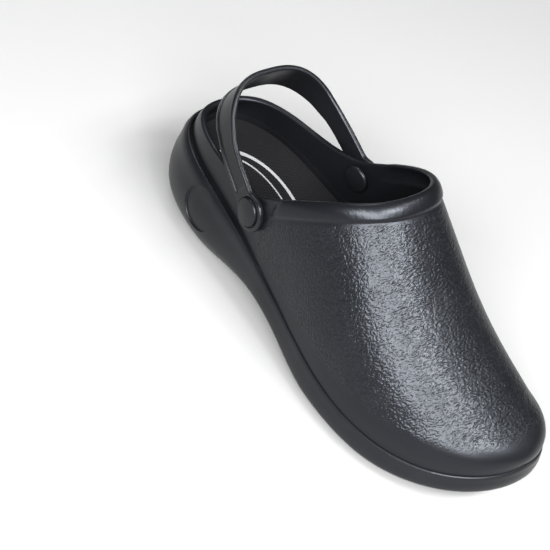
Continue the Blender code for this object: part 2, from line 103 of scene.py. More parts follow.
SECTIONS = (
    Section(0, 0.0, 0.0, 46.0, 47.0, 36.5),
    Section(8, 20.0, 0.0, 46.1, 64.0, 36.4),
    Section(25, 31.6, 0.0, 45.8, 94.0, 36.0),
    Section(50, 37.9, 0.0, 44.1, 125.0, 34.5),
    Section(80, 41.2, 0.2, 40.2, 141.0, 30.0),
    Section(110, 44.7, -0.3, 34.6, 138.5, 25.0),
    Section(140, 47.3, -0.8, 27.9, 124.5, 20.5),
    Section(170, 49.7, -2.4, 22.3, 102.5, 17.8),
    Section(200, 50.0, -3.4, 18.8, 79.8, 16.2),
    Section(230, 47.1, -1.2, 18.2, 61.8, 16.2),
    Section(255, 39.3, 3.6, 20.6, 49.5, 18.5),
    Section(270, 27.8, 6.4, 24.8, 41.5, 22.5),
    Section(280, 0.0, 8.0, 29.5, 32.5, 26.0),
)
COLLAR = (
    Collar(0, 60.5),
    Collar(40, 60.0),
    Collar(65, 61.0),
    Collar(80, 63.5),
    Collar(95, 69.5),
    Collar(105, 77.0),
    Collar(120, 89.0),
    Collar(140, 103.2),
    Collar(175, 121.0),
)
SIDES = (
    Side(0, 4.5, 7.0, 3.0),
    Side(50, 5.0, 8.0, 3.0),
    Side(80, 3.0, 9.0, 2.6),
    Side(110, 1.0, 9.0, 1.6),
    Side(150, 0.8, 8.0, 0.7),
    Side(220, 1.3, 7.0, 0.6),
    Side(280, 1.6, 8.0, 0.5),
)
PADS = (
    Pad("tread_forefoot", 207.0, 62.0, 36.0, 2.4),
    Pad("tread_heel", 40.0, 31.0, 25.0, 2.4),
)


class Curve:
    """Smooth curve through the rows of a table, by natural cubic splines."""

    def __init__(self, places: Sequence[float], values: Sequence[float]) -> None:
        """Solve for the bend at each row.

        Args:
            places: Rising places of the rows.
            values: Value at each place.
        """
        self.places = np.array(places, float)
        self.values = np.array(values, float)
        step = np.diff(self.places)
        slope = np.diff(self.values) / step
        count = len(self.places)
        system = np.eye(count)
        bend = np.zeros(count)
        for row in range(1, count - 1):
            system[row, row - 1:row + 2] = step[row - 1], 2 * (step[row - 1] + step[row]), step[row]
            bend[row] = 6 * (slope[row] - slope[row - 1])
        self.bend = np.linalg.solve(system, bend)

    def __call__(self, place: Array | float) -> Array:
        """Read the curve.

        Args:
            place: One place or an array of them.

        Returns:
            The curve's value at each place.
        """
        place = np.asarray(place, float)
        row = np.clip(np.searchsorted(self.places, place) - 1, 0, len(self.places) - 2)
        step = self.places[row + 1] - self.places[row]
        right = (place - self.places[row]) / step
        left = 1 - right
        sag = (left ** 3 - left) * self.bend[row] + (right ** 3 - right) * self.bend[row + 1]
        return left * self.values[row] + right * self.values[row + 1] + sag * step ** 2 / 6


def smooth_step(value: Array | float, start: float, end: float) -> Array:
    """Return 0 before start, 1 after end, and a smooth rise between them."""
    part = np.clip((np.asarray(value, float) - start) / (end - start), 0, 1)
    return part * part * (3 - 2 * part)


def turns(count: int) -> Array:
    """Return angles round the shoe: 0 at the heel, a half turn at the toe, the inner side first."""
    return np.arange(count) * 2 * math.pi / count


@dataclass
class Form:
    """The clog's closed form over the outline of its lip, which every moulded piece follows."""

    length: float = 280.0
    fullness: float = 2.3
    collar_lead: float = 0.3
    fan_reach: tuple[float, float] = (140.0, 225.0)
    stand_off: float = 0.8
    heel_edge: float = 20.0
    heel_edge_lift: float = 2.2
    arch_span: tuple[float, float] = (54.0, 178.0)
    arch_rise: float = 12.4
    toe_spring_start: float = 216.0
    toe_spring: float = 12.0
    curves: dict[str, Curve] = field(init=False)
    collar: Curve = field(init=False)
    collar_back: float = field(init=False)
    collar_front: float = field(init=False)

    def __post_init__(self) -> None:
        """Turn the tables into curves and find where the collar meets the crown line."""
        places = [float(self.angle(row.x)) for row in SECTIONS]
        names = ("half", "centre", "lip", "crown", "bed")
        self.curves = {
            name: Curve(places, [getattr(row, name) for row in SECTIONS]) for name in names
        }
        self.collar = Curve([row.x for row in COLLAR], [row.height for row in COLLAR])
        self.collar_back = self.crossing(0.0, 25.0)
        self.collar_front = self.crossing(140.0, 175.0)

    def angle(self, x: Array | float) -> Array:
        """Return the angle round an ellipse of the shoe's length, which gives curves round ends."""
        return np.arccos(np.clip(1 - 2 * np.asarray(x, float) / self.length, -1, 1))

    def at(self, name: str, x: Array | float) -> Array:
        """Return a column of the section table at x."""
        return self.curves[name](self.angle(x))

    def side(self, name: str, x: Array | float) -> Array:
        """Return a column of the side table at x."""
        return np.interp(x, [row.x for row in SIDES], [getattr(row, name) for row in SIDES])

    def under(self, x: Array | float) -> Array:
        """Draw the sole's underside, flat where heel and ball stand.

        Args:
            x: Places along the shoe.

        Returns:
            Its height at each place.
        """
        heel = self.heel_edge_lift * np.clip(1 - x / self.heel_edge, 0, None) ** 2
        along = np.clip((x - self.arch_span[0]) / (self.arch_span[1] - self.arch_span[0]), 0, 1)
        spring = np.clip((x - self.toe_spring_start) / (self.length - self.toe_spring_start), 0, None)
        arch = self.arch_rise * np.sin(math.pi * along) ** 2
        return self.stand_off + heel + arch + self.toe_spring * spring ** 2

    def outline(self, turn: Array) -> Array:
        """Return the plan of the sole's lip, x and y, at angles round the shoe."""
        x = self.length / 2 * (1 - np.cos(turn))
        return np.stack([x, self.at("centre", x) + np.sign(np.sin(turn)) * self.at("half", x)], axis=-1)

    def normal(self, turn: Array) -> Array:
        """Return unit vectors out of the lip's plan.

        Args:
            turn: Angles round the shoe.

        Returns:
            One vector for each angle.
        """
        step = 1e-3
        along = self.outline(turn + step) - self.outline(turn - step)
        out = np.stack([-along[:, 1], along[:, 0]], axis=-1)
        return out / np.linalg.norm(out, axis=1, keepdims=True)

    def ring(self, turn: Array, inset: Array | float, height: Array | float) -> Array:
        """Return a loop that follows the lip, moved in by inset."""
        plan = self.outline(turn) - self.normal(turn) * np.reshape(inset, (-1, 1))
        return np.column_stack([plan, np.broadcast_to(height, turn.shape)])

    def crossing(self, start: float, end: float) -> float:
        """Find where the collar's edge meets the crown line.

        Args:
            start: Place where the search begins.
            end: Place where it ends.

        Returns:
            The place along the shoe.
        """
        sign = np.sign(self.at("crown", start) - self.collar(start))
        for _ in range(40):
            middle = (start + end) / 2
            if np.sign(self.at("crown", middle) - self.collar(middle)) == sign:
                start = middle
            else:
                end = middle
        return (start + end) / 2

    def dome(self, x: Array, share: Array) -> Array:
        """Return the height of the closed form at a share of its half width.

        Args:
            x: Places along the shoe.
            share: Share of the half width at each place, from -1 to 1.

        Returns:
            The heights.
        """
        low = self.at("lip", x)
        arch = np.clip(1 - np.abs(share) ** self.fullness, 0, 1) ** (1 / self.fullness)
        return low + (self.at("crown", x) - low) * arch

    def collar_edge(self, turn: Array) -> tuple[Array, Array]:
        """Draw the collar's edge on the closed form.

        Args:
            turn: Angles round the shoe.

        Returns:
            Places along the shoe, and the share of the half width at each.
        """
        reach = (self.collar_front - self.collar_back) / 2
        x = self.collar_back + reach * (1 - np.cos(turn + self.collar_lead * np.sin(turn)))
        low = self.at("lip", x)
        rise = np.clip((self.collar(x) - low) / (self.at("crown", x) - low), 0, 1)
        return x, np.sign(np.sin(turn)) * (1 - rise ** self.fullness) ** (1 / self.fullness)

    def lines(self, turn: Array, samples: int = 220) -> tuple[Array, Array]:
        """Draw lines up the form from the lip to the collar.

        Along heel and waist a line keeps inside the outline by its share of the half width; towards
        the toe it runs straight in plan.

        Args:
            turn: Angles round the shoe.
            samples: Number of points on each line.

        Returns:
            The points of each line, and the run along it to each point.
        """
        run = (np.linspace(0, 1, samples) ** self.fullness)[None, :]
        foot = self.outline(turn)
        foot_x = foot[:, :1]
        head_x, head_share = (column[:, None] for column in self.collar_edge(turn))
        foot_share = np.sign(np.sin(turn))[:, None]
        head_y = self.at("centre", head_x) + self.at("half", head_x) * head_share
        x = foot_x + (head_x - foot_x) * run
        kept = foot_share + (head_share - foot_share) * run
        straight = foot[:, 1:] + (head_y - foot[:, 1:]) * run
        fan = smooth_step(foot_x, *self.fan_reach)
        y = (self.at("centre", x) + self.at("half", x) * kept) * (1 - fan) + straight * fan
        share = np.clip((y - self.at("centre", x)) / np.maximum(self.at("half", x), 1e-6), -1, 1)
        height = self.dome(x, share)
        height[:, 0] = self.at("lip", foot[:, 0])
        lines = np.stack([x, y, height], axis=-1)
        steps = np.linalg.norm(np.diff(lines, axis=1), axis=2)
        return lines, np.concatenate([np.zeros((len(turn), 1)), np.cumsum(steps, axis=1)], axis=1)


Skin = tuple[list[Array], list[tuple[int, ...]]]


def loft(loops: Sequence[Array], first: str = "open", last: str = "open") -> Skin:
    """Join loops of equal count into a skin.

    Args:
        loops: Loops of points, in order.
        first: How the first loop ends: open, fan, ladder or join.
        last: How the last loop ends, in the same words.

    Returns:
        Vertices and faces.
    """
    count = len(loops[0])
    vertices = [point for loop in loops for point in loop]
    faces = []
    spans = len(loops) if last == "join" else len(loops) - 1
    for row in range(spans):
        here, there = row * count, (row + 1) % len(loops) * count
        for step in range(count):
            ahead = (step + 1) % count
            faces.append((here + step, here + ahead, there + ahead, there + step))
    for kind, start in ((first, 0), (last, (len(loops) - 1) * count)):
        if kind == "ladder":
            for step in range(count // 2):
                near = (start + step, start + step + 1)
                far = (start + count - step - 1, start + (count - step) % count)
                faces.append(tuple(dict.fromkeys(near + far)))
        if kind == "fan":
            hub = len(vertices)
            vertices.append(np.mean(loops[0 if start == 0 else -1], axis=0))
            faces += [(start + step, start + (step + 1) % count, hub) for step in range(count)]
    return vertices, faces


def turned(profile: Iterable[tuple[float, float]], sides: int = 96) -> list[Array]:
    """Draw a turned piece about local Z.

    Args:
        profile: Rows of radius and height.
        sides: Number of points in each loop.

    Returns:
        One loop for each row.
    """
    angles = turns(sides)
    return [
        np.column_stack([radius * np.cos(angles), radius * np.sin(angles), np.full(sides, height)])
        for radius, height in profile
    ]


def facing(point: Sequence[float], direction: Sequence[float]) -> Matrix:
    """Return a frame at a point with local Z along the direction."""
    turn = Vector(direction).normalized().to_track_quat("Z", "Y")
    return Matrix.Translation(point) @ turn.to_matrix().to_4x4()


def make_piece(
    name: str, skin: Skin, place: Matrix | None = None, sharp: float = 40.0
) -> bpy.types.Object:
    """Make an object at the origin whose mesh lies in the part's frame.

    Args:
        name: Name of the piece.
        skin: Vertices in millimetres and faces.
        place: Frame that the vertices are given in, or None for the heel's corner.
        sharp: Edges over this angle in degrees stay sharp.

    Returns:
        The object.
    """
    mesh = bpy.data.meshes.new(name)
    work = bmesh.new()
    place = place or Matrix.Identity(4)
    corners = [work.verts.new((place @ Vector(point) - MIDDLE) * MM) for point in skin[0]]
    for face in skin[1]:
        work.faces.new([corners[index] for index in face])
    bmesh.ops.recalc_face_normals(work, faces=work.faces)
    work.to_mesh(mesh)
    work.free()
    mesh.shade_smooth()
    mesh.set_sharp_from_angle(angle=math.radians(sharp))
    piece = bpy.data.objects.new(name, mesh)
    bpy.context.scene.collection.objects.link(piece)
    return piece


def carve(piece: bpy.types.Object, cutters: Sequence[bpy.types.Object], sharp: float = 40.0) -> None:
    """Take the cutters' shapes out of a piece and remove the cutters.

    Args:
        piece: The piece.
        cutters: Objects whose shapes are taken out of it.
        sharp: Edges over this angle in degrees stay sharp.
    """
    for cutter in cutters:
        modifier = piece.modifiers.new(cutter.name, "BOOLEAN")
        modifier.operation = "DIFFERENCE"
        modifier.solver = "EXACT"
        modifier.object = cutter
    bpy.context.view_layer.update()
    graph = bpy.context.evaluated_depsgraph_get()
    mesh = bpy.data.meshes.new_from_object(piece.evaluated_get(graph))
    piece.modifiers.clear()
    piece.data = mesh
    mesh.shade_smooth()
    mesh.set_sharp_from_angle(angle=math.radians(sharp))
    for cutter in cutters:
        bpy.data.objects.remove(cutter, do_unlink=True)


def store(piece: bpy.types.Object, name: str, values: Array) -> None:
    """Keep one number for each vertex of a piece, for its finish to read."""
    layer = piece.data.attributes.new(name, "FLOAT", "POINT")
    layer.data.foreach_set("value", np.asarray(values, np.float32).ravel())


class Signal:
    """A shader socket that takes part in arithmetic, each operation adding its Math node."""

    def __init__(self, shader: "Shader", socket: bpy.types.NodeSocket) -> None:
        """Wrap a socket of a shader."""
        self.shader = shader
        self.socket = socket

    def calculate(self, operation: str, *terms: "Signal | float") -> "Signal":
        """Return the result of a Math node on the terms."""
        return self.shader.node("ShaderNodeMath", {"operation": operation}, dict(enumerate(terms)))

    def __add__(self, other: "Signal | float") -> "Signal":
        """Return the sum."""
        return self.calculate("ADD", self, other)

    __radd__ = __add__

    def __mul__(self, other: "Signal | float") -> "Signal":
        """Return the product."""
        return self.calculate("MULTIPLY", self, other)

    __rmul__ = __mul__

    def __sub__(self, other: "Signal | float") -> "Signal":
        """Return the difference."""
        return self.calculate("SUBTRACT", self, other)

    def __rsub__(self, other: "Signal | float") -> "Signal":
        """Return the other term less this one."""
        return self.calculate("SUBTRACT", other, self)

    def __truediv__(self, other: "Signal | float") -> "Signal":
        """Return the quotient."""
        return self.calculate("DIVIDE", self, other)

    def __pow__(self, other: "Signal | float") -> "Signal":
        """Return the power."""
        return self.calculate("POWER", self, other)

    def __abs__(self) -> "Signal":
        """Return the absolute value."""
        return self.calculate("ABSOLUTE", self)

    def sine(self) -> "Signal":
        """Return the sine."""
        return self.calculate("SINE", self)

    def step(self, start: float, end: float) -> "Signal":
        """Return 0 before start, 1 after end, and a smooth rise between them."""
        settings = {"interpolation_type": "SMOOTHSTEP", "clamp": True}
        return self.shader.node("ShaderNodeMapRange", settings, {0: self, 1: start, 2: end})


Colour = tuple[float, float, float, float]


class Shader:
    """A material's node tree, built by calls."""

    def __init__(self, name: str) -> None:
        """Start a material with one Principled shader.

        Args:
            name: Name of the material.
        """
        self.material = bpy.data.materials.new(name)
        self.material.use_nodes = True
        self.tree = self.material.node_tree
        self.surface = self.tree.nodes["Principled BSDF"]

    def node(
        self,
        kind: str,
        settings: dict[str, object],
        sockets: dict[int | str, object],
        output: int | str = 0,
    ) -> Signal:
        """Add a node.

        Args:
            kind: Type of the node.
            settings: Properties that are set first.
            sockets: Values or links of its input sockets, by name or place.
            output: Output that is returned, by name or place.

        Returns:
            The output, wrapped.
        """
        made = self.tree.nodes.new(kind)
        for key, value in settings.items():
            setattr(made, key, value)
        for key, value in sockets.items():
            self.feed(made.inputs[key], value)
        return Signal(self, made.outputs[output])

    def feed(self, socket: bpy.types.NodeSocket, value: object) -> None:
        """Link a signal to a socket, or set the socket's own value.

        Args:
            socket: Input socket of a node.
            value: A signal, or a number, vector or colour.
        """
        if isinstance(value, Signal):
            self.tree.links.new(value.socket, socket)
        else:
            socket.default_value = value

    def place(self) -> Signal:
        """Return the place on the piece in metres."""
        return self.node("ShaderNodeTexCoord", {}, {}, "Object")

    def stored(self, name: str) -> Signal:
        """Return a number that the mesh holds for each vertex."""
        return self.node("ShaderNodeAttribute", {"attribute_name": name}, {}, "Fac")

    def axes(self, vector: Signal) -> list[Signal]:
        """Return the three components of a vector."""
        return [self.node("ShaderNodeSeparateXYZ", {}, {0: vector}, axis) for axis in range(3)]

    def noise(self, vector: Signal, scale: float, detail: float = 2.0, rough: float = 0.5) -> Signal:
        """Return soft noise from 0 to 1, with scale in waves per metre."""
        sockets = {"Vector": vector, "Scale": scale, "Detail": detail, "Roughness": rough}
        return self.node("ShaderNodeTexNoise", {}, sockets, 0)

    def combine(self, operation: str, vector: Signal, other: "Signal | tuple[float, ...]") -> Signal:
        """Return the result of a Vector Math node on two vectors."""
        return self.node("ShaderNodeVectorMath", {"operation": operation}, {0: vector, 1: other})

    def stretch(self, vector: Signal, factors: Sequence[float]) -> Signal:
        """Return a vector with its components multiplied."""
        return self.combine("MULTIPLY", vector, tuple(factors))

    def shift(self, vector: Signal, other: Signal) -> Signal:
        """Return the sum of two vectors."""
        return self.combine("ADD", vector, other)

    def blend(self, mask: Signal, first: "Colour | Signal", second: "Colour | Signal") -> Signal:
        """Return the first colour where the mask is 0 and the second where it is 1."""
        return self.node("ShaderNodeMix", {"data_type": "RGBA"}, {0: mask, 6: first, 7: second}, 2)

    def emboss(self, height: Signal, depth: float) -> None:
        """Raise the surface by a height from 0 to 1, with depth in metres."""
        sockets = {"Height": height, "Distance": depth, "Strength": 1.0}
        self.feed(self.surface.inputs["Normal"], self.node("ShaderNodeBump", {}, sockets))

    def finish(self, **sockets: object) -> bpy.types.Material:
        """Feed the Principled shader's sockets.

        Args:
            sockets: Values or signals by the socket's name, with _ for a blank.

        Returns:
            The material.
        """
        for key, value in sockets.items():
            self.feed(self.surface.inputs[key.replace("_", " ")], value)
        return self.material


@dataclass(frozen=True)
class MouldedFoam:
    """Black moulded foam: pebbled where grain is stored, rippled on the bead, smooth elsewhere; paler
    in loose patches, with painted highlight on the pebble crowns.
    """

    name: str
    colour: Colour = (0.0032, 0.0034, 0.0042, 1.0)
    # Paler tone of loose patches, and painted highlight on the pebble crowns.
    paler_and_highlight_tone: Colour = (0.0056, 0.0059, 0.0070, 1.0)
    sheen: Colour = (0.84, 0.90, 1.0, 1.0)
    roughness: float = 0.37
    specular: float = 0.225
    pebble: float = 1.8
    relief: float = 0.00024
    drift_waves: float = 190.0
    drift_reach: float = 0.0022
    grain_stretch: tuple[float, float, float] = (1.45, 0.75, 1.2)
    crease_waves: float = 800.0
    pebble_waves: float = 1150.0
    fine_waves: float = 1300.0
    broad_waves: float = 90.0
    ripple_waves: float = 760.0
    ripple_stretch: tuple[float, float, float] = (0.25, 1.0, 0.20)
    cloud_waves: float = 35.0
    leather_mix: tuple[float, float, float] = (0.4, 0.5, 0.1)
    fine_share: float = 0.10
    ripple_share: float = 0.60
    # Mask range of the paler patches and the painted highlight on the pebble crowns.
    paler_and_highlight_from: tuple[float, float] = (0.35, 0.75)

    def material(self) -> bpy.types.Material:
        """Build the finish.

        Returns:
            The material.
        """
        shader = Shader(self.name)
        place = shader.place()
        grain = shader.stored("grain")
        bead = shader.stored("bead")
        sockets = {"Vector": place, "Scale": self.drift_waves, "Detail": 1.0}
        drift = shader.node("ShaderNodeTexNoise", {}, sockets, "Color")
        warped = shader.shift(place, shader.stretch(drift, (self.drift_reach,) * 3))
        across = shader.stretch(warped, self.grain_stretch)
        creases = abs(shader.noise(across, self.crease_waves / self.pebble, 0.0) * 4.0 - 2.0)
        creases = creases.step(0.0, 0.8)
        pebbles = shader.noise(across, self.pebble_waves / self.pebble, 0.0) * 2.0 - 0.5
        fine = shader.noise(place, self.fine_waves, 2.0, 0.6)
        broad = shader.noise(place, self.broad_waves, 2.0)
        ripple = shader.noise(shader.stretch(place, self.ripple_stretch), self.ripple_waves, 1.0)
        folded, pebbled, grained = self.leather_mix
        leather = (creases * folded + pebbles * pebbled + fine * grained) * (0.8 + 0.4 * broad)
        smooth = fine * self.fine_share + ripple * bead * self.ripple_share
        height = leather * grain + smooth * (1.0 - grain)
        shader.emboss(height, self.relief)
        cloud = shader.noise(place, self.cloud_waves, 3.0)
        # Paler in loose cloud patches, and painted highlight on the pebble crowns that leaves the
        # grain's valleys darker.
        paler_and_highlight = (cloud * 0.6 + pebbles * grain * 0.4).step(*self.paler_and_highlight_from)
        tone = shader.blend(paler_and_highlight, self.colour, self.paler_and_highlight_tone)
        rough = self.roughness + (cloud - 0.5) * 0.08 - grain * 0.03 - bead * 0.04
        return shader.finish(
            Base_Color=tone, Roughness=rough, Specular_IOR_Level=self.specular, Specular_Tint=self.sheen
        )


@dataclass(frozen=True)
class SatinFoam:
    """Smooth satin foam of the strap and the sole, with faint mould texture."""

    name: str
    colour: Colour = (0.0034, 0.0035, 0.0042, 1.0)
    sheen: Colour = (0.88, 0.92, 1.0, 1.0)
    roughness: float = 0.38
    relief: float = 0.00005
    specular: float = 0.24
    fine_waves: float = 1800.0
    cloud_waves: float = 40.0
    pale_share: float = 1.5
    pale_from: tuple[float, float] = (0.35, 0.8)

    def material(self) -> bpy.types.Material:
        """Build the finish.

        Returns:
            The material.
        """
        shader = Shader(self.name)
        place = shader.place()
        fine = shader.noise(place, self.fine_waves, 2.0, 0.6)
        cloud = shader.noise(place, self.cloud_waves, 3.0)
        shader.emboss(fine * 0.7 + cloud * 0.3, self.relief)
        pale = tuple(self.pale_share * part for part in self.colour[:3]) + (1.0,)
        tone = shader.blend(cloud.step(*self.pale_from), self.colour, pale)
        rough = self.roughness + (cloud - 0.5) * 0.1
        return shader.finish(
            Base_Color=tone, Roughness=rough, Specular_IOR_Level=self.specular, Specular_Tint=self.sheen
        )


@dataclass(frozen=True)
class WovenTextile:
    """Charcoal textile of the insole, woven in fine diagonal rows, with a printed oval in off-white."""

    name: str
    colour: Colour = (0.0006, 0.0006, 0.0009, 1.0)
    thread: Colour = (0.0070, 0.0071, 0.0085, 1.0)
    ink: Colour = (0.21, 0.21, 0.22, 1.0)
    roughness: float = 0.9
    specular: float = 0.12
    pitch: float = 1.5
    slant: tuple[float, float] = (0.86, 0.5)
    thread_from: tuple[float, float] = (0.3, 0.85)
    ink_wear: float = 0.28
    relief: float = 0.00022
    fuzz_waves: float = 1600.0
    edge_blur: float = 0.15
    oval_middle: tuple[float, float] = (-70.0, -8.0)
    outer_oval: tuple[float, float, float] = (37.0, 21.5, 1.0)
    inner_oval: tuple[float, float, float] = (31.5, 14.2, 0.45)

    def oval(self, shader: Shader, place: Signal, size: tuple[float, float, float]) -> Signal:
        """Draw an oval line.

        Args:
            shader: The textile's shader.
            place: Place on the piece.
            size: Half length, half width and half thickness of the line.

        Returns:
            A mask that is 1 on the line.
        """
        x, y, _ = shader.axes(place)
        along = (x / MM - self.oval_middle[0]) / size[0]
        across = (y / MM - self.oval_middle[1]) / size[1]
        away = abs((along * along + across * across) ** 0.5 - 1.0) * size[1]
        return 1.0 - away.step(size[2] - self.edge_blur, size[2] + self.edge_blur)

    def material(self) -> bpy.types.Material:
        """Build the finish.

        Returns:
            The material.
        """
        shader = Shader(self.name)
        place = shader.place()
        x, y, _ = shader.axes(place)
        along, across = self.slant
        waves = 2 * math.pi / (self.pitch * MM)
        warp = ((x * along + y * across) * waves).sine()
        weft = ((y * along - x * across) * waves).sine()
        weave = warp * weft * 0.5 + 0.5
        fuzz = shader.noise(place, self.fuzz_waves, 3.0, 0.7)
        height = weave * 0.75 + fuzz * 0.25
        shader.emboss(height, self.relief)
        cloth = shader.blend(height.step(*self.thread_from), self.colour, self.thread)
        ovals = self.oval(shader, place, self.outer_oval) + self.oval(shader, place, self.inner_oval)
        wear = (1.0 - self.ink_wear) + self.ink_wear * weave.step(0.1, 0.6)
        tone = shader.blend(ovals * wear, cloth, self.ink)
        return shader.finish(
            Base_Color=tone, Roughness=self.roughness, Specular_IOR_Level=self.specular
        )


@dataclass(frozen=True)
class SlateRubber:
    """Matte slate rubber of the treads, dusty in patches."""

    name: str
    colour: Colour = (0.030, 0.034, 0.042, 1.0)
    dusty: Colour = (0.060, 0.068, 0.082, 1.0)
    roughness: float = 0.62
    relief: float = 0.00012
    streak_stretch: tuple[float, float, float] = (1.0, 0.25, 1.0)
    streak_waves: float = 300.0
    fine_waves: float = 2000.0
    dusty_from: tuple[float, float] = (0.35, 0.7)

    def material(self) -> bpy.types.Material:
        """Build the finish.

        Returns:
            The material.
        """
        shader = Shader(self.name)
        place = shader.place()
        streaks = shader.noise(shader.stretch(place, self.streak_stretch), self.streak_waves, 3.0)
        fine = shader.noise(place, self.fine_waves, 2.0, 0.7)
        shader.emboss(fine, self.relief)
        patches = (streaks * 0.7 + fine * 0.3).step(*self.dusty_from)
        tone = shader.blend(patches, self.colour, self.dusty)
        return shader.finish(Base_Color=tone, Roughness=self.roughness + streaks * 0.12)


def dress(piece: bpy.types.Object, finish: bpy.types.Material, slot: str, *nodes: str) -> None:
    """Give a piece its finish, seat it on the shoe's body and let it stand for its nodes.

    Args:
        piece: The piece.
        finish: Its material.
        slot: Material slot of the record that the finish belongs to; not used.
        nodes: Names of the solids that the piece stands for.
    """
    piece.data.materials.clear()
    piece.data.materials.append(finish)
    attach(piece, BODY)
    if nodes:
        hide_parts(*nodes)
    log.info("%s: %d faces", piece.name, len(piece.data.polygons))


@dataclass
class Upper:
    """The moulded upper: vamp, collar with its rolled bead, and low heel cup, as one hollow shell."""

    form: Form
    wall: float = 3.6
    gap: float = 0.3
    rim_round: float = 1.4
    bead_height: float = 9.5
    bead_swell: float = 1.8
    bead_edge_share: float = 0.5
    bead_crown: float = 0.8
    bead_soft: tuple[float, float] = (-1.0, 0.5)
    bead_start: float = 104.5
    bead_fade: float = 6.0
    bead_rows_from: float = 0.6
    toe_swell: float = 1.3
    toe_swell_reach: float = 26.0
    toe_swell_start: tuple[float, float] = (190.0, 265.0)
    bumper_at: tuple[float, ...] = (90.0, 140.0, 200.0, 250.0, 280.0)
    bumper: tuple[float, ...] = (5.0, 10.0, 13.5, 16.5, 16.0)
    grain_start: tuple[float, float] = (92.0, 106.0)
    grain_soft: tuple[float, float] = (-2.5, 3.5)
    grain_under_bead: float = 3.0
    row_spread: float = 1.25
    outer_rows: tuple[int, int] = (46, 26)
    inner_rows: tuple[int, int] = (22, 14)
    rim_rows: int = 9
    rim_fullness: float = 0.8
    rim_from: int = 6
    around: int = 360

    def rows(self, low: int, high: int) -> Array:
        """Return row places: low rows up the side and high rows through the collar's bead."""
        side = np.linspace(0, 1, low) ** self.row_spread * self.bead_rows_from
        return np.concatenate([side, np.linspace(self.bead_rows_from, 1, high + 1)[1:]])

    def grid(self, turn: Array, rows: Array) -> tuple[Array, Array, Array, Array]:
        """Lay a grid of points on the closed form.

        Args:
            turn: Angles round the shoe.
            rows: Places of the rows, from 0 at the lip to 1 at the collar.

        Returns:
            Points, their normals, and their runs from the lip and from the collar.
        """
        lines, lengths = self.form.lines(turn)
        total = lengths[:, -1]
        bead = np.minimum(self.bead_height + self.bead_swell * 2, 0.5 * total)
        low = np.minimum(rows / self.bead_rows_from, 1)[None, :] * (total - bead)[:, None]
        high = np.clip((rows - self.bead_rows_from) / (1 - self.bead_rows_from), 0, 1)
        run = low + high[None, :] * bead[:, None]
        points = np.empty(run.shape + (3,))
        for row in range(len(turn)):
            for axis in range(3):
                points[row, :, axis] = np.interp(run[row], lengths[row], lines[row, :, axis])
        across = np.roll(points, -1, axis=0) - np.roll(points, 1, axis=0)
        up = np.gradient(points, axis=1)
        up[:, 0] = (0, 0, 1)
        normal = np.cross(up, across)
        normal /= np.linalg.norm(normal, axis=2, keepdims=True)
        return points, normal, run, total[:, None] - run

    def skin(self, turn: Array, rows: Array, depth: float) -> tuple[Array, Array, Array]:
        """Draw one face of the wall.

        Args:
            turn: Angles round the shoe.
            rows: Places of the rows, from 0 at the lip to 1 at the collar.
            depth: Depth inside the outer face.

        Returns:
            Points, and their runs from the lip and from the collar.
        """
        points, normal, from_lip, from_edge = self.grid(turn, rows)
        foot_x = self.form.outline(turn)[:, 0][:, None]
        rise = 1 - smooth_step(from_edge, self.bead_height - self.bead_swell, self.bead_height)
        crown = np.sin(math.pi * np.clip(from_edge / self.bead_height, 0, 1) ** self.bead_crown)
        profile = rise * (self.bead_edge_share + (1 - self.bead_edge_share) * crown)
        ahead = smooth_step(points[..., 0], self.bead_start, self.bead_start + self.bead_fade)
        toe = self.toe_swell * smooth_step(foot_x, *self.toe_swell_start)
        swell = toe * np.sin(math.pi * np.clip(from_lip / self.toe_swell_reach, 0, 1)) ** 2
        move = swell + self.bead_swell * profile * ahead - self.form.side("ledge", foot_x) - depth
        skin = points + normal * move[..., None]
        skin[:, 0, 2] = points[:, 0, 2]
        skin[..., 2] += self.gap * (1 - smooth_step(from_lip, 0, self.bead_fade))
        return skin, from_lip, from_edge

    def masks(self, outer: Array, from_lip: Array, from_edge: Array) -> tuple[Array, Array]:
        """Find the pebbled part of the outer face, and the collar's bead.

        Args:
            outer: Points of the outer face.
            from_lip: Their runs from the lip.
            from_edge: Their runs from the collar.

        Returns:
            Two masks from 0 to 1, with a number for each point.
        """
        x = outer[..., 0]
        band = np.interp(x, self.bumper_at, self.bumper)
        bead = 1 - smooth_step(from_edge - self.bead_height, *self.bead_soft)
        bead = bead * smooth_step(x, self.bead_start, self.bead_start + self.bead_fade)
        grain = smooth_step(from_lip - band, *self.grain_soft) * smooth_step(x, *self.grain_start)
        return grain * smooth_step(from_edge - self.bead_height, 0, self.grain_under_bead), bead

    def build(self) -> bpy.types.Object:
        """Build the upper's shell.

        Returns:
            The piece.
        """
        turn = turns(self.around)
        outer, from_lip, from_edge = self.skin(turn, self.rows(*self.outer_rows), 0.0)
        inner = self.skin(turn, self.rows(*self.inner_rows), self.wall)[0]
        lift = outer[:, -1] - outer[:, -self.rim_from]
        lift /= np.linalg.norm(lift, axis=1, keepdims=True)
        edge, back = outer[:, -1], inner[:, -1]
        rim = []
        for part in np.linspace(0, 1, self.rim_rows)[1:-1]:
            bulge = self.rim_round * math.sin(math.pi * part) ** self.rim_fullness
            rim.append(edge + (back - edge) * (1 - math.cos(math.pi * part)) / 2 + lift * bulge)
        loops = [outer[:, row] for row in range(outer.shape[1])] + rim
        loops += [inner[:, row] for row in reversed(range(inner.shape[1]))]
        piece = make_piece("moulded_upper", loft(loops, last="join"), sharp=60.0)
        grain, bead = self.masks(outer, from_lip, from_edge)
        rest = np.zeros((len(loops) - outer.shape[1], self.around))
        rim_bead = np.repeat(bead[:, -1][None, :], len(rim), axis=0)
        store(piece, "grain", np.concatenate([grain.T, rest]))
        store(piece, "bead", np.concatenate([bead.T, rim_bead, rest[len(rim):]]))
        return piece


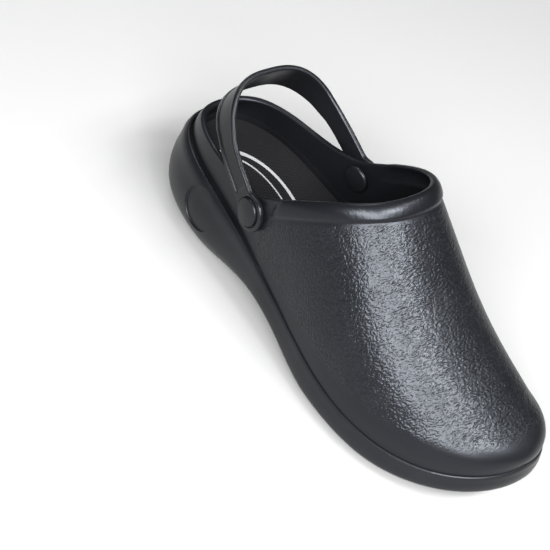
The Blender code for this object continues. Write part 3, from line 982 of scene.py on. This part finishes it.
@dataclass
class Sole:
    """The moulded sole with its ledge and groove, the footbed, the heel's round recess and the pads."""

    form: Form
    upper: Upper
    seat_clear: float = 0.5
    groove_depth: float = 1.6
    groove_ledge: tuple[float, float] = (1.2, 2.8)
    groove_shape: tuple[tuple[float, float], ...] = (
        (0.96, 0.5), (0.90, 0.9), (0.80, 1.0), (0.70, 0.9), (0.62, 0.5), (0.56, 0.12),
    )
    ridge_shape: tuple[tuple[float, float], ...] = (
        (0.46, 0.0), (0.30, 0.0), (0.14, 0.02), (0.04, 0.12), (-0.02, 0.3),
    )
    ledge_clear: float = 0.05
    groove_clear: float = 0.03
    side_start: float = 0.28
    side_rows: int = 26
    bed_steps: tuple[float, ...] = (12.0, 8.0, 5.0, 2.5, 0.0)
    cup_rise: float = 2.5
    cup_width: float = 16.0
    disc_sides: int = 96
    disc_radius: float = 13.2
    disc_depth: float = 1.1
    disc_floor: tuple[float, ...] = (0.96, 0.85, 0.7, 0.55, 0.4, 0.25, 0.1)
    disc_centre: tuple[float, float] = (56.0, 28.0)
    pocket: float = 3.0
    pocket_ends: float = 0.03
    pocket_rows: int = 90
    channel: float = 2.2
    around: int = 360

    def footbed(self, turn: Array, inset: Array, from_edge: float) -> Array:
        """Draw a loop on the footbed, which rises like a shallow cup to its edge.

        Args:
            turn: Angles round the shoe.
            inset: How far the bed's edge lies inside the lip.
            from_edge: How far the loop lies inside the bed's edge.

        Returns:
            The loop.
        """
        loop = self.form.ring(turn, inset + from_edge, 0)
        cup = self.cup_rise * np.clip(1 - from_edge / self.cup_width, 0, 1) ** 2
        loop[:, 2] = self.form.at("bed", np.clip(loop[:, 0], 0, self.form.length)) + cup
        return loop

    def side_profile(self) -> tuple[Curve, Curve]:
        """Draw the section of the sole's side.

        Returns:
            Swell and tuck of the side, against a drop of 0 at the lip and 1 at the underside.
        """
        drop = (0.0, 0.04, 0.20, 0.40, 0.58, 0.74, 0.87, 0.96, 1.0)
        swell = (0.0, 0.25, 0.62, 0.95, 1.00, 0.80, 0.45, 0.10, 0.0)
        tuck = (0.0, 0.0, 0.0, 0.0, 0.0, 0.06, 0.28, 0.62, 1.0)
        return Curve(drop, swell), Curve(drop, tuck)

    def loops(self, turn: Array) -> list[Array]:
        """Draw the sole's side, from the groove beside the upper to the underside.

        Args:
            turn: Angles round the shoe.

        Returns:
            The loops, in order.
        """
        x = self.form.outline(turn)[:, 0]
        lip, under, ledge = self.form.at("lip", x), self.form.under(x), self.form.side("ledge", x)
        depth = self.groove_depth * smooth_step(ledge, *self.groove_ledge)
        ring = self.form.ring
        seat = ledge + self.upper.wall + self.seat_clear
        loops = [ring(turn, seat, lip), ring(turn, ledge + self.ledge_clear, lip)]
        for share, drop in self.groove_shape:
            loops.append(ring(turn, ledge * share, lip - self.groove_clear - depth * drop))
        for share, drop in self.ridge_shape:
            loops.append(ring(turn, ledge * share, lip - drop))
        swell, tuck = self.side_profile()
        for drop in 1 - np.cos(np.linspace(self.side_start, math.pi / 2, self.side_rows)):
            drawn_in = np.clip(tuck(drop), 0, 1) * self.form.side("tuck", x)
            out = swell(drop) * self.form.side("swell", x) - drawn_in
            loops.append(ring(turn, -out, under + (1 - drop) * (lip - under)))
        return loops

    def pad_shape(self, pad: Pad) -> bpy.types.Object:
        """Build the cutter of a pad's pocket.

        Args:
            pad: The pad.

        Returns:
            The cutter.
        """
        reach = pad.half_length + self.channel
        turn = np.linspace(self.pocket_ends, math.pi - self.pocket_ends, self.pocket_rows)
        loops = []
        for x in pad.middle - reach * np.cos(turn):
            part = min(abs(x - pad.middle) / reach, 1.0)
            half = (pad.half_width + self.channel) * (1 - part ** pad.power) ** (1 / pad.power)
            middle, floor = float(self.form.at("centre", x)), float(self.form.under(x))
            right, left = middle - half, middle + half
            low, high = floor - 2 * self.pocket, floor + self.pocket
            loops.append(np.array(((x, right, low), (x, left, low), (x, left, high), (x, right, high))))
        return make_piece(pad.name + "_pocket", loft(loops, "fan", "fan"))

    def outer_side(self, x: Array, height: Array) -> Array:
        """Find the sole's outer side.

        Args:
            x: Places along the shoe.
            height: Height at each place.

        Returns:
            The side's Y at each place.
        """
        under, lip = self.form.under(x), self.form.at("lip", x)
        swell, tuck = self.side_profile()
        drop = (lip - height) / (lip - under)
        out = swell(drop) * self.form.side("swell", x) - tuck(drop) * self.form.side("tuck", x)
        return self.form.at("centre", x) - self.form.at("half", x) - out

    def disc_shape(self) -> bpy.types.Object:
        """Build the cutter of the heel's round recess, whose floor follows the sole's side.

        Returns:
            The cutter.
        """
        angles = turns(self.disc_sides)
        deep = self.disc_depth
        rows = [(1.0, -4.0), (1.0, deep * 0.6), (0.985, deep * 0.85)]
        rows += [(share, deep) for share in self.disc_floor]
        loops = []
        for share, depth in rows:
            x = self.disc_centre[0] + self.disc_radius * share * np.cos(angles)
            z = self.disc_centre[1] + self.disc_radius * share * np.sin(angles)
            loops.append(np.column_stack([x, self.outer_side(x, z) + depth, z]))
        return make_piece("disc_cutter", loft(loops, "fan", "fan"))

    def build(self) -> bpy.types.Object:
        """Build the sole.

        Returns:
            The piece.
        """
        turn = turns(self.around)
        ledge = self.form.side("ledge", self.form.outline(turn)[:, 0])
        wall = ledge + self.upper.wall + self.seat_clear
        bed = [self.footbed(turn, wall, edge) for edge in (self.cup_width, *self.bed_steps)]
        piece = make_piece("moulded_sole", loft(bed + self.loops(turn), "ladder", "ladder"))
        carve(piece, [self.disc_shape()] + [self.pad_shape(pad) for pad in PADS])
        return piece


@dataclass
class Insole:
    """The textile insole that lies on the footbed."""

    form: Form
    sole: Sole
    clear: float = 0.9
    thick: float = 4.2
    gap: float = 0.3
    straight: float = 0.78
    bed_steps: tuple[float, ...] = (13.0, 10.0, 7.5, 5.0, 2.5, 1.2)
    around: int = 360

    def build(self) -> bpy.types.Object:
        """Build the insole, with rounded edges.

        Returns:
            The piece.
        """
        turn = turns(self.around)
        ledge = self.form.side("ledge", self.form.outline(turn)[:, 0])
        inset = ledge + self.sole.upper.wall + self.clear
        edges = (self.sole.cup_width, *self.bed_steps)
        low = [self.sole.footbed(turn, inset, edge) + (0, 0, self.gap) for edge in edges + (0.0,)]
        side = [low[-1] + (0, 0, self.thick * self.straight)]
        for share in (0.25, 0.6, 1.0):
            bend = (1 - self.straight) * math.sin(math.pi / 2 * share)
            rise = self.thick * (self.straight + bend) + self.gap
            edge = 1.0 - math.cos(math.pi / 2 * share)
            side.append(self.sole.footbed(turn, inset, edge) + (0, 0, rise))
        top = self.thick + self.gap
        high = [self.sole.footbed(turn, inset, edge) + (0, 0, top) for edge in reversed(edges)]
        return make_piece("textile_insole", loft(low + side + high, "ladder", "ladder"))


@dataclass
class Strap:
    """The heel strap: a foam band round the back, with raised borders and an eye at each end."""

    pivot: tuple[float, float] = (92.4, 58.7)
    middle: float = -0.2
    half_span: float = 42.6
    reach: float = 69.5
    lift: float = math.radians(28.2)
    squareness: float = 2.8
    width: float = 13.8
    back_swell: float = 4.0
    back_rise: float = 1.0
    back_from: float = 0.45
    thick: float = 3.2
    border: float = 2.3
    panel_depth: float = 0.7
    panel_slope: float = 0.5
    panel_start: tuple[float, float] = (12.6, 13.4)
    taper: float = 0.13
    taper_run: float = 12.0
    eye: float = 11.0
    counterbore: float = 8.6
    counterbore_depth: float = 0.9
    counterbore_slope: float = 0.35
    eye_blend: tuple[float, float] = (-1.0, 13.0)
    hole: float = 3.4
    hole_sides: int = 48
    edge_round: float = 1.1
    eye_turn: tuple[float, float] = (0.08, math.pi * 0.47)
    limb_share: float = 0.55
    bend_from: float = 0.62
    counts: tuple[int, int, int] = (30, 60, 44)
    across_count: int = 41
    border_steps: tuple[float, float] = (-0.05, 0.25)

    def path(self, run: Array | float, side: int) -> Array:
        """Draw the middle of the strap.

        Args:
            run: Runs from the pivot towards the back.
            side: 1 on the inner side, -1 on the outer side.

        Returns:
            A point for each run.
        """
        part = np.clip(run / self.reach, 0, 1)
        drawn_in = self.taper * self.taper_run * np.tanh(run / self.taper_run)
        span = (self.half_span - drawn_in) * (1 - part ** self.squareness) ** (1 / self.squareness)
        x = self.pivot[0] - run * math.cos(self.lift)
        height = self.pivot[1] + run * math.sin(self.lift)
        return np.stack([x, self.middle + side * span, height], axis=-1)

    def rivet_frame(self, side: int) -> Matrix:
        """Return the frame of a rivet: origin in the strap's middle, local Z out of the shoe."""
        back, up = math.cos(self.lift), math.sin(self.lift)
        return facing(self.path(np.array(0.0), side), (-self.taper * back, side, self.taper * up))

    def stations(self) -> tuple[Array, Array]:
        """Lay out the strap's sections, from eye to eye.

        Returns:
            The middle of each section, and its run from the nearer pivot.
        """
        at_eye, at_limb, at_bend = self.counts
        eye = -self.eye * np.cos(np.linspace(*self.eye_turn, at_eye))
        limb = np.linspace(0.0, self.reach * self.limb_share, at_limb)
        turn = np.linspace(math.asin(self.bend_from), math.pi / 2, at_bend)
        bend = self.reach * np.sin(turn) ** (2 / self.squareness)
        runs = np.concatenate([eye, limb[1:], bend])
        left, right = self.path(runs, 1), self.path(runs, -1)
        return np.concatenate([left, right[-2::-1]]), np.concatenate([runs, runs[-2::-1]])

    def half_width(self, runs: Array) -> Array:
        """Return half the strap's width at each run.

        Args:
            runs: Runs from the nearer pivot.

        Returns:
            The half widths, before the back's swell.
        """
        eye = np.sqrt(np.clip(self.eye ** 2 - runs ** 2, 0.02, None))
        blend = smooth_step(runs, *self.eye_blend)
        half = np.where(runs < 0, eye, eye * (1 - blend) + self.width / 2 * blend)
        return np.maximum(half, np.where(runs > 4, self.width / 2, 0))

    def section(self, run: float, half: float) -> list[tuple[float, float]]:
        """Draw a section of the strap.

        Args:
            run: Run from the nearer pivot.
            half: Half the strap's width.

        Returns:
            Rows of place across and height, round from the lower edge.
        """
        shares = np.sin(np.linspace(-math.pi / 2, math.pi / 2, self.across_count))
        inside = max(half - self.border, 0.6)
        steps = inside + np.array((-self.panel_slope, *self.border_steps))
        wide = np.sort(np.concatenate([shares * half, steps, -steps]))
        away = self.eye - np.hypot(wide, run) if run < 0 else half - np.abs(wide)
        near = np.clip(self.edge_round - away, 0, self.edge_round)
        rise = np.sqrt(np.clip(self.edge_round ** 2 - near ** 2, 0, None))
        height = self.thick / 2 - self.edge_round + rise
        within = 1 - smooth_step(np.abs(wide), inside - self.panel_slope, inside)
        panel = self.panel_depth * smooth_step(run, *self.panel_start) * within
        from_pivot = np.hypot(wide, run) if run < self.counterbore else np.full(wide.shape, self.reach)
        bore_edge = self.counterbore - self.counterbore_slope
        bore = 1 - smooth_step(from_pivot, bore_edge, self.counterbore)
        top = height - panel - self.counterbore_depth * bore
        lower = [(w, -h) for w, h in zip(wide, height)]
        upper = [(w, t) for w, t in zip(wide[::-1], top[::-1])]
        return lower + upper

    def build(self) -> bpy.types.Object:
        """Build the strap.

        Returns:
            The piece.
        """
        points, runs = self.stations()
        along = np.gradient(points, axis=0)
        along /= np.linalg.norm(along, axis=1, keepdims=True)
        across = np.array((math.sin(self.lift), 0, math.cos(self.lift)))
        out = np.cross(along, across)
        out /= np.linalg.norm(out, axis=1, keepdims=True)
        back = smooth_step(runs, self.back_from * self.reach, self.reach)
        points = points + across * (self.back_rise * back)[:, None]
        halves = self.half_width(runs) + self.back_swell * back
        loops = []
        for point, face, run, half in zip(points, out, runs, halves):
            rows = self.section(float(run), float(half))
            loops.append(np.array([point + across * wide + face * rise for wide, rise in rows]))
        piece = make_piece("strap_band", loft(loops, "fan", "fan"))
        bores = []
        for flank in Flank:
            rows = ((self.hole, -2 * self.thick), (self.hole, 2 * self.thick))
            shape = loft(turned(rows, self.hole_sides), "fan", "fan")
            bores.append(make_piece(f"eye_{flank.name.lower()}", shape, self.rivet_frame(flank.value)))
        carve(piece, bores)
        return piece


@dataclass
class Rivet:
    """A domed push button that holds the strap, with the cap that it locks into inside the wall."""

    strap: Strap
    wall: float = 3.6
    shank: float = 3.0
    gap: float = 0.3
    cap: float = 7.9
    cap_rise: float = 2.4
    cap_bevel: float = 0.25
    cap_edge: float = 0.9
    cap_side: float = 0.45
    shank_end: float = 0.9
    hub_depth: float = 1.2
    inner_bevel: float = 0.2
    inner_side: float = 0.8
    inner_round: float = 1.1
    inner_face: tuple[tuple[float, float], ...] = ((0.6, 2.2), (0.3, 2.3))
    slack: float = 2.4

    def dome(self, seat: float) -> list[tuple[float, float]]:
        """Draw the button's profile: a flat seat, a rounded edge and a low dome.

        Args:
            seat: Height of the seat over the strap's middle.

        Returns:
            Rows of radius and height.
        """
        shoulder, bevel = seat + self.cap_rise * self.cap_side, self.cap_bevel
        rows = [(self.cap - bevel, seat), (self.cap, seat + bevel), (self.cap, shoulder)]
        for turn in np.linspace(0.15, 1, 7) * math.pi / 2:
            height = shoulder + self.cap_edge * math.sin(turn) * 0.9
            rows.append((self.cap - self.cap_edge * (1 - math.cos(turn)), height))
        radius, start = rows[-1]
        top = seat + self.cap_rise
        for part in np.linspace(0.15, 0.97, 9):
            height = start + (top - start) * math.sin(part * math.pi / 2)
            rows.append((radius * (1 - part), height))
        return rows

    def build(self, flank: Flank) -> tuple[bpy.types.Object, bpy.types.Object]:
        """Build the button and the inner cap of one side.

        Args:
            flank: Side of the shoe.

        Returns:
            The button with its shank, and the inner cap.
        """
        side = flank.name.lower() + "_side"
        place = self.strap.rivet_frame(flank.value)
        seat = self.strap.thick / 2 - self.strap.counterbore_depth + self.gap
        inner = -self.strap.thick / 2 - self.wall - self.slack
        button = [(self.shank, inner - self.shank_end), (self.shank, seat)] + self.dome(seat)
        hub, bend, start = self.shank + self.gap, self.inner_round, inner - self.inner_side
        head = [(hub, inner - self.hub_depth), (hub, inner)]
        head += [(self.cap - self.inner_bevel, inner), (self.cap, inner - self.inner_bevel)]
        for turn in np.linspace(0.1, 1, 8) * math.pi / 2:
            head.append((self.cap - bend * (1 - math.cos(turn)), start - bend * math.sin(turn)))
        head += [(self.cap * share, inner - depth) for share, depth in self.inner_face]
        outer = make_piece(f"button_{side}", loft(turned(button), "fan", "fan"), place)
        return outer, make_piece(f"button_cap_{side}", loft(turned(head), "fan", "fan"), place)


@dataclass
class Tread:
    """An oval rubber pad let into the underside, cut into wide and narrow bars in turn."""

    form: Form
    pad: Pad
    pocket: float = 3.0
    gap: float = 0.3
    groove: float = 1.6
    groove_depth: float = 2.0
    bar_wide: float = 6.2
    bar_narrow: float = 3.4
    bar_end: float = 8.0
    end_clear: float = 0.4
    groove_slope: float = 0.2
    chamfer: float = 0.35
    slot: float = 1.5
    slot_lean: float = 3.0
    slot_place: float = 0.16

    def half(self, x: float) -> float:
        """Return half the pad's width at x."""
        part = min(abs(x - self.pad.middle) / self.pad.half_length, 1.0)
        return self.pad.half_width * (1 - part ** self.pad.power) ** (1 / self.pad.power)

    def bars(self) -> list[tuple[float, float]]:
        """Lay out the bars along the pad.

        Returns:
            Where each bar begins, after its groove, and its width.
        """
        reach = self.pad.half_length - self.end_clear - self.bar_end
        x, wide = self.pad.middle - reach, False
        bars = []
        while x + self.groove + self.bar_narrow < self.pad.middle + reach:
            width = self.bar_wide if wide else self.bar_narrow
            bars.append((x + self.groove, width))
            x += self.groove + width
            wide = not wide
        return bars

    def rows(self) -> list[tuple[float, float]]:
        """Draw the pad's face lengthwise.

        Returns:
            Places along the pad, and how deep the face lies there.
        """
        reach = self.pad.half_length - self.end_clear
        shares = (0, 0.03, 0.08, 0.16, 0.3, 0.5, 0.75)
        rows = [(self.pad.middle - reach + self.bar_end * share, 0.0) for share in shares]
        slope, edge, deep = self.groove_slope, self.chamfer, self.groove_depth
        for far, width in self.bars():
            near = far - self.groove
            rows += [(near - edge, 0.0), (near, edge), (near + slope, deep)]
            rows += [(far - slope, deep), (far, edge), (far + edge, 0.0)]
            rows += [(far + width * share, 0.0) for share in (0.35, 0.65)]
        last = [self.pad.middle + reach - self.bar_end * share for share in reversed(shares)]
        return rows + [(place, 0.0) for place in last if place > rows[-1][0]]

    def slots(self) -> list[bpy.types.Object]:
        """Build cutters of the short slanted slots that part the wide bars near their middle.

        Returns:
            The cutters.
        """
        cutters = []
        wide = [x for x, width in self.bars()[:-1] if width == self.bar_wide]
        for x in wide:
            shift = self.slot_place if len(cutters) % 2 else -self.slot_place
            near_y = float(self.form.at("centre", x)) + self.half(x) * shift
            far_y = near_y + self.slot_lean
            floor = float(self.form.under(x)) - self.form.stand_off
            near, far = x - self.groove / 2, x + self.bar_wide + self.groove / 2
            plan = ((near, near_y), (near, near_y + self.slot), (far, far_y + self.slot), (far, far_y))
            heights = (floor - self.groove_depth, floor + self.groove_depth)
            loops = [np.array([(*corner, height) for corner in plan]) for height in heights]
            cutters.append(make_piece(f"slot_{len(cutters)}", loft(loops, "fan", "fan")))
        return cutters

    def build(self) -> bpy.types.Object:
        """Build the pad.

        Returns:
            The piece.
        """
        loops = []
        for x, depth in self.rows():
            half, middle = self.half(x), float(self.form.at("centre", x))
            floor = float(self.form.under(x)) - self.form.stand_off
            face, back = floor + depth, floor + self.form.stand_off + self.pocket - self.gap
            edge = min(self.chamfer, half * 0.4)
            loops.append(np.array((
                (x, middle - half, face + edge), (x, middle - half + edge, face),
                (x, middle + half - edge, face), (x, middle + half, face + edge),
                (x, middle + half, back), (x, middle - half, back),
            )))
        piece = make_piece(f"rubber_{self.pad.name}", loft(loops, "fan", "fan"))
        carve(piece, self.slots(), sharp=30.0)
        return piece


class Lamp(NamedTuple):
    """Soft light: its azimuth and elevation from the shoe in degrees, distance, size and power."""

    name: str
    azimuth: float
    elevation: float
    away: float
    size: tuple[float, float]
    power: float


@dataclass
class Studio:
    """Pale floor, soft lights and the camera."""

    lamps: tuple[Lamp, ...] = (
        Lamp("key_light", -57.0, 40.0, 1.3, (1.45, 0.50), 82.0),
        Lamp("toe_light", 5.0, 56.0, 1.5, (0.90, 0.30), 58.0),
        Lamp("edge_light", 64.0, 54.0, 1.5, (0.26, 0.16), 5.0),
        Lamp("back_light", 165.0, 50.0, 1.6, (0.6, 0.3), 7.0),
    )
    air: float = 0.04
    air_colour: Colour = (0.92, 0.94, 1.0, 1.0)
    floor_reach: float = 8.0
    floor_tones: tuple[Colour, Colour] = ((0.23, 0.23, 0.23, 1.0), (0.245, 0.245, 0.245, 1.0))
    floor_roughness: float = 0.7
    haze_waves: float = 2.0
    camera_place: tuple[float, float, float] = (0.34902, -0.51444, 0.58200)
    camera_right: tuple[float, float, float] = (0.59126, 0.76032, 0.26895)
    camera_down: tuple[float, float, float] = (0.66874, -0.27581, -0.69045)
    camera_ahead: tuple[float, float, float] = (-0.45078, 0.58809, -0.67153)
    focal_pixels: float = 1509.8
    picture: float = 550.0
    sensor: float = 36.0
    aim: tuple[float, float, float] = (0.05, -0.01, 0.06)

    def floor(self) -> None:
        """Lay the floor."""
        reach = self.floor_reach
        mesh = bpy.data.meshes.new("studio_floor")
        corners = [(-reach, -reach, 0), (reach, -reach, 0), (reach, reach, 0), (-reach, reach, 0)]
        mesh.from_pydata(corners, [], [(0, 1, 2, 3)])
        ground = bpy.data.objects.new("studio_floor", mesh)
        bpy.context.scene.collection.objects.link(ground)
        shader = Shader("pale_floor")
        haze = shader.noise(shader.place(), self.haze_waves)
        tone = shader.blend(haze, *self.floor_tones)
        mesh.materials.append(shader.finish(Base_Color=tone, Roughness=self.floor_roughness))

    def hang(self, lamp: Lamp) -> None:
        """Hang a soft rectangular light that looks at the shoe.

        Args:
            lamp: The light.
        """
        light = bpy.data.lights.new(lamp.name, "AREA")
        light.shape = "RECTANGLE"
        light.size, light.size_y = lamp.size
        light.energy = lamp.power
        turn, lift = math.radians(lamp.azimuth), math.radians(lamp.elevation)
        flat = math.cos(lift)
        way = Vector((math.cos(turn) * flat, math.sin(turn) * flat, math.sin(lift)))
        hung = bpy.data.objects.new(lamp.name, light)
        hung.location = Vector(self.aim) + way * lamp.away
        hung.rotation_euler = way.to_track_quat("Z", "Y").to_euler()
        bpy.context.scene.collection.objects.link(hung)

    def camera(self) -> None:
        """Set the camera where the photograph was taken from."""
        eye = bpy.data.cameras.new("camera")
        eye.sensor_width = self.sensor
        eye.lens = self.focal_pixels / self.picture * self.sensor
        eye.clip_start, eye.clip_end = 0.01, 50.0
        taken = bpy.data.objects.new("camera", eye)
        columns = Matrix((self.camera_right, self.camera_down, self.camera_ahead)).transposed()
        columns = columns @ Matrix.Diagonal((1, -1, -1))
        taken.matrix_world = Matrix.Translation(self.camera_place) @ columns.to_4x4()
        bpy.context.scene.collection.objects.link(taken)
        bpy.context.scene.camera = taken

    def build(self) -> None:
        """Set up the whole studio."""
        self.floor()
        for lamp in self.lamps:
            self.hang(lamp)
        world = bpy.data.worlds.new("studio_air")
        world.use_nodes = True
        air = world.node_tree.nodes["Background"]
        air.inputs["Color"].default_value = self.air_colour
        air.inputs["Strength"].default_value = self.air
        bpy.context.scene.world = world
        bpy.context.scene.view_settings.view_transform = "Standard"
        self.camera()


def main() -> None:
    """Build the clog and its studio."""
    logging.basicConfig(level=logging.INFO, format="%(name)s %(message)s")
    form = Form()
    upper = Upper(form)
    sole = Sole(form, upper)
    strap = Strap()
    dress(upper.build(), MouldedFoam("pebbled_foam").material(), "foam", "upper")
    dress(sole.build(), SatinFoam("satin_foam").material(), "foam", "sole")
    dress(Insole(form, sole).build(), WovenTextile("woven_insole").material(), "textile", "insole")
    dress(strap.build(), SatinFoam("strap_foam", roughness=0.30).material(), "foam", "heel_strap")
    plastic = SatinFoam("button_plastic", roughness=0.34, relief=0.00002).material()
    for flank in Flank:
        button, cap = Rivet(strap).build(flank)
        dress(button, plastic, "plastic", f"rivet_{flank.name.lower()}_side")
        dress(cap, plastic, "plastic", f"rivet_cap_{flank.name.lower()}_side")
    rubber = SlateRubber("slate_rubber").material()
    for pad in PADS:
        dress(Tread(form, pad).build(), rubber, "tread", pad.name)
    Studio().build()


if __name__ == "__main__":
    main()
